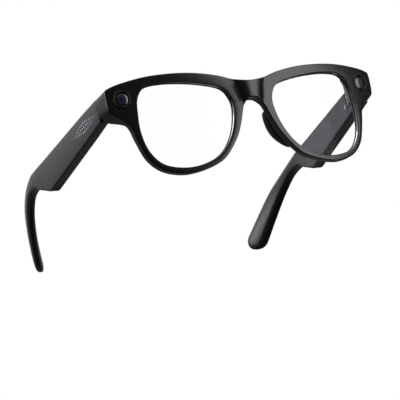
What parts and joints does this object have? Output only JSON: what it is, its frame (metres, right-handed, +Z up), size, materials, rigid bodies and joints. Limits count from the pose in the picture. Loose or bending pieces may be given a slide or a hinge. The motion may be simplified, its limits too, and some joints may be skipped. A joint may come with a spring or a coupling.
{
  "type": "camera smart glasses",
  "caption": "Full-rim camera smart glasses with clear lenses, a camera and a status light in the end blocks, and deep folding electronic temples.",
  "frame": {"origin": "centre of the bounding box at the level of the surface it stands on, temples open", "axes": "+X towards the wearer's left, -Y the way the lenses face, +Z up; it stands on the rims' bottoms and the ear tips"},
  "size_m": [0.1592, 0.1496, 0.0503],
  "materials": {
    "frame_black": "polished black acetate",
    "pad_black": "satin black",
    "lens_clear": "clear photochromic lens with an anti-reflection coat",
    "bezel_black": "black-coated metal",
    "camera_glass": "coated camera window, bluish purple",
    "smoked_glass": "dark smoked window",
    "moulded_black": "matt black",
    "circuit_board": "green solder mask",
    "hinge_steel": "fine brushed",
    "screw_steel": "turned",
    "contact_gold": "gold plated",
    "temple_black": "satin black",
    "inner_grey": "satin charcoal",
    "cell_foil": "foil pouch",
    "sensor_film": "amber film",
    "grille_metal": "black, perforated",
    "control_black": "satin black"
  },
  "bodies": {
    "front": {"front_frame": "frame_black", "lens_right": "lens_clear", "lens_left": "lens_clear", "camera_bezel": "bezel_black", "camera_glass": "camera_glass", "camera_module": "moulded_black", "camera_board": "circuit_board", "light_bezel": "bezel_black", "light_window": "smoked_glass", "light_board": "circuit_board", "end_cover_right": "frame_black", "end_cover_left": "frame_black", "nose_pad_right": "pad_black", "nose_pad_left": "pad_black", "hinge_front_right": "hinge_steel", "hinge_front_left": "hinge_steel", "hinge_pin_right": "hinge_steel", "hinge_pin_left": "hinge_steel", "front_leaf_screw_right_1": "screw_steel", "front_leaf_screw_right_2": "screw_steel", "front_leaf_screw_left_1": "screw_steel", "front_leaf_screw_left_2": "screw_steel", "charge_block": "moulded_black", "charge_contact_1": "contact_gold", "charge_contact_2": "contact_gold"},
    "temple_right": {"temple_shell_right": "temple_black", "temple_cover_right": "inner_grey", "hinge_temple_right": "hinge_steel", "battery_right": "cell_foil", "speaker_right": "moulded_black", "speaker_grille_right": "grille_metal", "microphone_right": "hinge_steel", "cover_screw_right_1": "screw_steel", "cover_screw_right_2": "screw_steel", "temple_leaf_screw_right_1": "screw_steel", "temple_leaf_screw_right_2": "screw_steel", "main_board_right": "circuit_board", "touch_film": "sensor_film", "capture_switch": "moulded_black", "power_switch": "moulded_black"},
    "temple_left": {"temple_shell_left": "temple_black", "temple_cover_left": "inner_grey", "hinge_temple_left": "hinge_steel", "battery_left": "cell_foil", "speaker_left": "moulded_black", "speaker_grille_left": "grille_metal", "microphone_left": "hinge_steel", "cover_screw_left_1": "screw_steel", "cover_screw_left_2": "screw_steel", "temple_leaf_screw_left_1": "screw_steel", "temple_leaf_screw_left_2": "screw_steel", "aux_board_left": "circuit_board"},
    "capture_button": {"capture_button": "control_black"},
    "power_slider": {"power_slider": "control_black"}
  },
  "joints": [
    {"name": "temple_right_fold", "type": "hinge", "parent": "front", "child": "temple_right", "pos_m": [-0.0692, -0.05546, 0.03916], "axis": [0, 0, -1], "range_deg": [0, 88]},
    {"name": "temple_left_fold", "type": "hinge", "parent": "front", "child": "temple_left", "pos_m": [0.0692, -0.05546, 0.03916], "axis": [0, 0, 1], "range_deg": [0, 75]},
    {"name": "capture_button_press", "type": "slide", "parent": "temple_right", "child": "capture_button", "axis": [0, 0, -1], "range_m": [0, 0.0004], "stiffness_N_per_m": 1500},
    {"name": "power_slider_slide", "type": "slide", "parent": "temple_right", "child": "power_slider", "axis": [-0.0558, 0.9984, 0], "range_m": [0, 0.002]}
  ]
}
